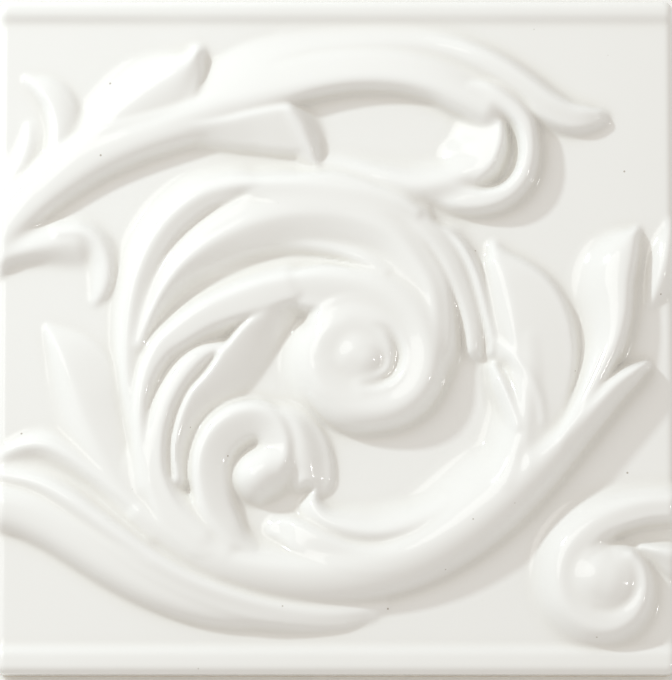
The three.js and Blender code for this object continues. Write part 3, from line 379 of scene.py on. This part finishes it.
# Hollows cut into the raised work: name, left profile, right profile, points
# Each point: x, y, reach to the left, reach to the right, depth
SUNK = [
    ["crescent inside the hook", "soft", "soft", [
        [35.6, 51.6, 1, 1, 0.3], [38.4, 48.6, 1.7, 1.5, 1.8], [39.9, 44.6, 1.8, 1.7, 2.8],
        [40.1, 40.4, 1.8, 1.8, 3], [38.8, 36.8, 1.8, 1.8, 2.8], [36, 34.2, 1.7, 1.7, 1.8],
        [32.4, 33, 1.2, 1.2, 0.5],
    ]],
    ["valley over the band", "soft", "soft", [
        [-26, 15.2, 1.2, 1.2, 0.2], [-20, 17, 1.9, 1.7, 0.9], [-15, 18.2, 2, 1.8, 1.1],
        [-9, 18.6, 2, 1.8, 1.1], [-3, 17.8, 2, 1.8, 1], [2, 16.2, 1.8, 1.6, 0.8],
        [6.6, 13.8, 1.2, 1.2, 0.2],
    ]],
    ["crescent beside the button", "soft", "soft", [
        [8.6, 2, 1, 1, 0.1], [11.6, 0.6, 1.5, 1.5, 0.9], [13.6, -2.6, 1.8, 1.8, 1.9],
        [13.9, -5.8, 1.9, 1.9, 2.3], [12.6, -9, 1.8, 1.8, 2.1], [9.8, -11, 1.5, 1.5, 1.3],
        [6.4, -11.6, 1.2, 1.2, 0.4],
    ]],
    ["crescent over the corner ball", "soft", "soft", [
        [57.4, -48, 1, 1, 0.3], [61, -45.8, 1.6, 1.6, 1.2], [66, -44.4, 1.9, 1.9, 2],
        [72, -43.8, 2, 2, 2.4], [79, -43.6, 2, 2, 2.4],
    ]],
    ["crescent right of the corner ball", "soft", "soft", [
        [58.4, -61.6, 1.6, 1.6, 0.2], [62.2, -61.6, 2.2, 2.2, 0.5], [65.6, -59.4, 2.2, 2.2, 0.5],
        [67, -56, 2, 2, 0.4], [66.4, -51.8, 1.4, 1.4, 0.1],
    ]],
    ["notch beside the ribs", "soft", "soft", [
        [21.4, 28.8, 1, 1, 0.4], [22.4, 26.8, 2, 1.8, 1.6], [24.2, 25.6, 2.2, 2, 1.5],
        [26.8, 25, 1, 1, 0.3],
    ]],
    ["pocket under the small volute", "soft", "soft", [
        [-16.6, -37, 1, 1, 0.4], [-12.8, -37.4, 2.2, 2, 2], [-9, -36.8, 2.6, 2.4, 2.6],
        [-6.2, -34.6, 1.8, 1.6, 1.8],
    ]],
    ["groove under the outer leaf of the arc", "soft", "soft", [
        [-14, 61.6, 1.6, 1.6, 0.1], [-5, 64, 1.6, 1.6, 0.3], [7, 65, 1.6, 1.6, 0.4],
        [20, 64, 1.8, 1.8, 0.6], [30, 60.4, 1.8, 1.8, 0.9], [36.4, 56.8, 1.7, 1.7, 1.2],
        [41.8, 52.6, 1.6, 1.4, 1.4], [44.6, 49, 1, 1, 0.6],
    ]],
    ["groove between the roots", "soft", "soft", [
        [-82, -32.6, 1.4, 1.4, 0.6], [-74, -33.6, 1.6, 1.4, 0.7], [-67, -35.6, 1.9, 1.6, 0.9],
        [-58, -41.2, 1.9, 1.6, 0.6], [-50, -46.4, 1.7, 1.5, 0.3], [-42, -50.6, 1.2, 1.2, 0.1],
    ]],
]


def deselect_all():
    if bpy.context.object and bpy.context.object.mode != "OBJECT":
        bpy.ops.object.mode_set(mode="OBJECT")
    bpy.ops.object.select_all(action="DESELECT")


# The moulded face

def cross_profile(kind, t):
    t = np.clip(t, 0, 1)
    if kind == "round":
        return (1 - t ** 2) ** ROUND_FULLNESS
    if kind == "steep":
        return (1 - t ** STEEP_SHOULDER) ** STEEP_FULLNESS
    if kind == "soft":
        return 0.5 + 0.5 * np.cos(np.pi * t)
    if kind == "domed":
        return 1 - t ** 2
    return 1 - t ** FLAT_CURVE


def centre_line(points):
    points = np.array(points, float)
    line = []
    for i in range(len(points) - 1):
        a, b = points[max(i - 1, 0)], points[i]
        c, d = points[i + 1], points[min(i + 2, len(points) - 1)]
        for t in np.arange(SPLINE_STEPS) / SPLINE_STEPS:
            line.append(0.5 * (2 * b + (c - a) * t + (2 * a - 5 * b + 4 * c - d) * t ** 2
                               + (3 * b - a - 3 * c + d) * t ** 3))
    line = np.array(line + [points[-1]])
    line[:, 2:4] = np.maximum(line[:, 2:4], NARROWEST_REACH)
    return line


def stroke_height(x, y, left, left_foot, right, right_foot, points):
    line = centre_line(points)
    nearest = np.full(x.shape, np.inf)
    side = np.zeros(x.shape)
    weights = np.zeros(x.shape)
    left_reach, right_reach, crest = (np.zeros(x.shape) for _ in range(3))
    for a, b in zip(line[:-1], line[1:]):
        dx, dy = b[:2] - a[:2]
        u = np.clip(((x - a[0]) * dx + (y - a[1]) * dy) / (dx * dx + dy * dy), 0, 1)
        ox, oy = x - a[0] - u * dx, y - a[1] - u * dy
        away = np.sqrt(ox * ox + oy * oy + CREST_ROUNDING ** 2)
        weight = away ** -NEARNESS
        weights += weight
        left_reach += weight * (a[2] + u * (b[2] - a[2]))
        right_reach += weight * (a[3] + u * (b[3] - a[3]))
        crest += weight * (a[4] + u * (b[4] - a[4]))
        side = np.where(away < nearest, (dx * oy - dy * ox) / (math.hypot(dx, dy) * away), side)
        nearest = np.minimum(nearest, away)
    crest /= weights

    def flank(profile, foot, reach):
        shape = foot + (1 - foot) * cross_profile(profile, nearest / reach)
        return crest * shape - np.maximum(nearest - reach, 0) * FOOT_SLOPE

    on_left = 0.5 + 0.5 * side
    return (on_left * flank(left, left_foot, left_reach / weights)
            + (1 - on_left) * flank(right, right_foot, right_reach / weights))


def blend_up(a, b, reach):
    return np.maximum(a, b) + np.maximum(reach - np.abs(a - b), 0) ** 2 / (4 * reach)


def smooth_step(start, full, value):
    t = np.clip((value - start) / (full - start), 0, 1)
    return t * t * (3 - 2 * t)


def near_stroke(x, y, points):
    reach = max(max(p[2], p[3]) for p in points) + STROKE_MARGIN
    return ((x > min(p[0] for p in points) - reach) & (x < max(p[0] for p in points) + reach)
            & (y > min(p[1] for p in points) - reach) & (y < max(p[1] for p in points) + reach))


def relief(x, y):
    height = np.zeros(x.shape)
    for _, left, left_foot, right, right_foot, blend, points in RAISED:
        near = near_stroke(x, y, points)
        below = height[near]
        stroke = stroke_height(x[near], y[near], left, left_foot, right, right_foot, points)
        reach = np.maximum(LEAST_BLEND, blend * np.clip(np.minimum(below, stroke), 0, 1))
        height[near] = blend_up(below, stroke, reach)
    for _, left, right, points in SUNK:
        near = near_stroke(x, y, points)
        height[near] -= np.maximum(stroke_height(x[near], y[near], left, 0, right, 0, points), 0)
    half = TILE_SIDE / 2
    top = smooth_step(half - TOP_RIM_FLAT - TOP_RIM_SLOPE, half - TOP_RIM_FLAT, y)
    bottom = smooth_step(half - BOTTOM_RIM_FLAT - BOTTOM_RIM_SLOPE, half - BOTTOM_RIM_FLAT, -y)
    return np.maximum(height, RIM_HEIGHT * (top + bottom))


def soften(height, spacing, reach):
    """Rounds creases and arrises as a poured glaze does."""
    steps = int(math.ceil(3 * reach / spacing))
    weights = np.exp(-0.5 * (np.arange(-steps, steps + 1) * spacing / reach) ** 2)
    weights /= weights.sum()
    padded = np.pad(height, steps, mode="edge")
    rows = sum(w * padded[:, k:k + height.shape[1]] for k, w in enumerate(weights))
    return sum(w * rows[k:k + height.shape[0], :] for k, w in enumerate(weights))


def grid_lines():
    half = TILE_SIDE / 2
    inner = half - FACE_EDGE_RADIUS
    turn = np.arange(EDGE_DIVISIONS, 0, -1) / EDGE_DIVISIONS * math.pi / 2
    edge = inner + FACE_EDGE_RADIUS * np.sin(turn)
    return np.concatenate([-edge, np.linspace(-inner, inner, FACE_DIVISIONS + 1), edge[::-1]])


def rounded_square(lines):
    """Pulls the grid's corners in to the tile's rounded outline."""
    half = TILE_SIDE / 2
    corner = half - CORNER_RADIUS
    x, y = np.meshgrid(lines, lines)
    inset = half - np.maximum(np.abs(x), np.abs(y))
    px, py = np.maximum(np.abs(x) - corner, 0), np.maximum(np.abs(y) - corner, 0)
    both = (px > 0) & (py > 0)
    pull = np.where(both, np.maximum(px, py) / np.maximum(np.hypot(px, py), SMALLEST_LENGTH), 1)
    x = np.where(both, np.sign(x) * (corner + px * pull), x)
    y = np.where(both, np.sign(y) * (corner + py * pull), y)
    return x, y, inset


def mould_face(mesh, lines):
    """Moves each vertex to its grid line and up to the relief, and returns how much glaze pools there."""
    flat = np.empty(len(mesh.vertices) * 3)
    mesh.vertices.foreach_get("co", flat)
    flat = flat.reshape(-1, 3)
    across = (flat[:, :2] / MM + TILE_SIDE / 2) / TILE_SIDE * (len(lines) - 1)
    column, row = np.rint(across).astype(int).T

    x, y, inset = rounded_square(lines)
    spacing = (TILE_SIDE - 2 * FACE_EDGE_RADIUS) / FACE_DIVISIONS
    height = soften(relief(x, y), spacing, GLAZE_SOFTENING)
    short = np.maximum(FACE_EDGE_RADIUS - inset, 0)
    drop = FACE_EDGE_RADIUS - np.sqrt(np.maximum(FACE_EDGE_RADIUS ** 2 - short ** 2, 0))
    z = np.minimum(BODY_THICKNESS + height - drop, TILE_TOP)
    for axis, place in enumerate((x, y, z)):
        flat[:, axis] = place[row, column] * MM
    mesh.vertices.foreach_set("co", flat.reshape(-1))
    mesh.update()

    pool = np.clip((soften(height, spacing, POOLING_REACH) - height) / POOLING_DEPTH, -1, 1)
    return pool[row, column]


def close_walls_and_back():
    bpy.ops.object.mode_set(mode="EDIT")
    bpy.ops.mesh.select_mode(type="EDGE")
    bpy.ops.mesh.select_all(action="DESELECT")
    bpy.ops.mesh.select_non_manifold(extend=False, use_wire=False, use_multi_face=False,
                                     use_non_contiguous=False, use_verts=False)
    bpy.ops.mesh.extrude_edges_indiv()
    bpy.ops.transform.resize(value=(1, 1, 0), center_override=(0, 0, BACK_ARRIS * MM))
    bpy.ops.mesh.extrude_edges_indiv()
    shrink = 1 - BACK_ARRIS / (TILE_SIDE / 2)
    bpy.ops.transform.resize(value=(shrink, shrink, 0), center_override=(0, 0, 0))
    bpy.ops.mesh.edge_face_add()
    bpy.ops.mesh.select_all(action="SELECT")
    bpy.ops.mesh.normals_make_consistent(inside=False)
    bpy.ops.object.mode_set(mode="OBJECT")


def model_tile():
    lines = grid_lines()
    deselect_all()
    bpy.ops.mesh.primitive_grid_add(x_subdivisions=len(lines) - 1, y_subdivisions=len(lines) - 1,
                                    size=TILE_SIDE * MM, location=(0, 0, BODY_THICKNESS * MM))
    tile = bpy.context.object
    tile.name = "glazed_relief_tile"
    bpy.ops.object.transform_apply(location=True, rotation=True, scale=True)
    mesh = tile.data
    pool = mould_face(mesh, lines)
    close_walls_and_back()

    pooling = mesh.attributes.new("glaze_pool", "FLOAT", "POINT")
    everywhere = np.zeros(len(mesh.vertices))
    everywhere[:len(pool)] = pool
    pooling.data.foreach_set("value", everywhere)
    deselect_all()
    tile.select_set(True)
    bpy.context.view_layer.objects.active = tile
    bpy.ops.object.shade_smooth_by_angle(angle=math.radians(SMOOTH_TURN))
    return tile


# White glaze over a cream body

def link(tree, a, b):
    tree.links.new(a, b)


def add(tree, kind, **settings):
    node = tree.nodes.new(kind)
    for name, value in settings.items():
        setattr(node, name, value)
    return node


def noise(tree, place, scale, detail):
    node = add(tree, "ShaderNodeTexNoise")
    node.inputs["Scale"].default_value = scale
    node.inputs["Detail"].default_value = detail
    link(tree, place, node.inputs["Vector"])
    return node.outputs["Fac"]


def colour_ramp(tree, value, *stops):
    node = add(tree, "ShaderNodeValToRGB")
    elements = node.color_ramp.elements
    elements[0].position, elements[0].color = stops[0]
    elements[1].position, elements[1].color = stops[-1]
    for position, colour in stops[1:-1]:
        elements.new(position).color = colour
    link(tree, value, node.inputs["Fac"])
    return node.outputs["Color"]


def map_range(tree, value, start, end, low=0, high=1, kind="LINEAR"):
    node = add(tree, "ShaderNodeMapRange", interpolation_type=kind)
    node.inputs["From Min"].default_value = start
    node.inputs["From Max"].default_value = end
    node.inputs["To Min"].default_value = low
    node.inputs["To Max"].default_value = high
    link(tree, value, node.inputs["Value"])
    return node.outputs["Result"]


def mix(tree, kind, share, a, b):
    node = add(tree, "ShaderNodeMix", data_type=kind)
    link(tree, share, node.inputs["Factor"])
    link(tree, a, node.inputs["A"])
    link(tree, b, node.inputs["B"])
    return node.outputs["Result"]


def glaze_colour(tree, place):
    # Pooled glaze is a little creamier, thin glaze on the crests a little whiter
    pool = add(tree, "ShaderNodeAttribute", attribute_name="glaze_pool")
    pooled = map_range(tree, pool.outputs["Fac"], -1, 1)
    tint = colour_ramp(tree, pooled, (0.2, THIN_GLAZE), (0.5, EVEN_GLAZE), (0.85, POOLED_GLAZE))

    # Slow clouding of the glaze
    cloud = colour_ramp(tree, noise(tree, place, CLOUD_SCALE, 3), (0, CLOUD_SHADE), (1, PLAIN_WHITE))
    clouded = add(tree, "ShaderNodeMix", data_type="RGBA", blend_type="MULTIPLY")
    clouded.inputs["Factor"].default_value = CLOUD_SHARE
    link(tree, tint, clouded.inputs["A"])
    link(tree, cloud, clouded.inputs["B"])

    # A few small pinholes and specks fired into the glaze
    pinhole = add(tree, "ShaderNodeTexVoronoi")
    pinhole.inputs["Scale"].default_value = PINHOLE_SCALE
    link(tree, place, pinhole.inputs["Vector"])
    speck = map_range(tree, pinhole.outputs["Distance"], PINHOLE_CORE, PINHOLE_RIM,
                      PINHOLE_STRENGTH, 0, "SMOOTHSTEP")
    specked = add(tree, "ShaderNodeMix", data_type="RGBA")
    specked.inputs["B"].default_value = SPECK_BROWN
    link(tree, speck, specked.inputs["Factor"])
    link(tree, clouded.outputs["Result"], specked.inputs["A"])
    return specked.outputs["Result"]


def bare_body(tree, place):
    """Full below the uneven glaze line on the walls and on the back, nothing above it."""
    split = add(tree, "ShaderNodeSeparateXYZ")
    link(tree, place, split.inputs["Vector"])
    wavering = add(tree, "ShaderNodeMath", operation="MULTIPLY_ADD")
    wavering.inputs[1].default_value = GLAZE_LINE_WAVER * MM
    link(tree, noise(tree, place, WAVER_SCALE, 2), wavering.inputs[0])
    link(tree, split.outputs["Z"], wavering.inputs[2])
    line = GLAZE_LINE + GLAZE_LINE_WAVER / 2
    return map_range(tree, wavering.outputs[0], (line + GLAZE_LINE_BLUR) * MM,
                     (line - GLAZE_LINE_BLUR) * MM, kind="SMOOTHSTEP")


def glaze_material():
    material = bpy.data.materials.new("white_glaze_over_cream_body")
    material.use_nodes = True
    tree = material.node_tree
    shader = tree.nodes["Principled BSDF"]
    place = add(tree, "ShaderNodeTexCoord").outputs["Object"]
    bare = bare_body(tree, place)
    grain = noise(tree, place, GRAIN_SCALE, 4)
    body = colour_ramp(tree, grain, (0.35, DARK_GRAIN), (0.65, LIGHT_GRAIN))
    link(tree, mix(tree, "RGBA", bare, glaze_colour(tree, place), body), shader.inputs["Base Color"])
    roughness = map_range(tree, bare, 0, 1, GLAZE_ROUGHNESS, BODY_ROUGHNESS)
    link(tree, roughness, shader.inputs["Roughness"])
    shader.inputs["IOR"].default_value = GLAZE_IOR

    # Faint orange peel in the glaze, a dry grain on the bare body
    peel = noise(tree, place, PEEL_SCALE, 1)
    bump = add(tree, "ShaderNodeBump")
    bump.inputs["Strength"].default_value = SKIN_STRENGTH
    bump.inputs["Distance"].default_value = SKIN_DEPTH * MM
    link(tree, mix(tree, "FLOAT", bare, peel, grain), bump.inputs["Height"])
    link(tree, bump.outputs["Normal"], shader.inputs["Normal"])
    return material


def floor_material():
    material = bpy.data.materials.new("pale_floor")
    material.use_nodes = True
    shader = material.node_tree.nodes["Principled BSDF"]
    shader.inputs["Base Color"].default_value = FLOOR_WHITE
    shader.inputs["Roughness"].default_value = FLOOR_ROUGHNESS
    return material


# Studio: pale floor, key lamp and softbox at the upper left, small lamp at the right, bright room

def towards(azimuth, elevation):
    a, e = math.radians(azimuth), math.radians(elevation)
    return Vector((math.cos(e) * math.cos(a), math.cos(e) * math.sin(a), math.sin(e)))


def aim(thing, target):
    away = thing.location - target
    thing.rotation_euler = away.to_track_quat("Z", "Y").to_euler()


def lamp(name, azimuth, elevation, distance, size, power, colour):
    deselect_all()
    bpy.ops.object.light_add(type="AREA", location=towards(azimuth, elevation) * distance)
    light = bpy.context.object
    light.name = name
    light.data.shape = "DISK"
    light.data.size = size
    light.data.energy = power
    light.data.color = colour
    aim(light, LAMP_TARGET)


def studio():
    deselect_all()
    bpy.ops.mesh.primitive_plane_add(size=FLOOR_SIDE, location=(0, 0, 0))
    floor = bpy.context.object
    floor.name = "floor"
    floor.data.materials.append(floor_material())

    lamp("key", azimuth=141, elevation=31, distance=0.75, size=0.06, power=2.5, colour=(0.82, 0.94, 1))
    lamp("big_softbox", azimuth=145, elevation=54, distance=1.4, size=0.9, power=3, colour=(1, 0.99, 0.97))
    lamp("right_lamp", azimuth=-12, elevation=42, distance=1.2, size=0.05, power=0.6, colour=(1, 1, 1))
    world = bpy.data.worlds.new("bright_room")
    bpy.context.scene.world = world
    world.use_nodes = True
    background = world.node_tree.nodes["Background"]
    background.inputs["Color"].default_value = ROOM_COLOUR
    background.inputs["Strength"].default_value = ROOM_STRENGTH


def camera():
    elevation = math.radians(CAMERA_ELEVATION)
    away = Vector((0, -math.cos(elevation), math.sin(elevation))) * CAMERA_DISTANCE
    deselect_all()
    bpy.ops.object.camera_add(location=CAMERA_AIM + away)
    view = bpy.context.object
    view.name = "view_from_above"
    aim(view, CAMERA_AIM)
    view.data.lens = view.data.sensor_width * CAMERA_DISTANCE / VIEW_WIDTH
    bpy.context.scene.camera = view
    bpy.context.scene.view_settings.view_transform = "Standard"


camera()
tile = model_tile()
tile.data.materials.append(glaze_material())
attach(tile, "root")
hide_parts("relief_tile")
studio()
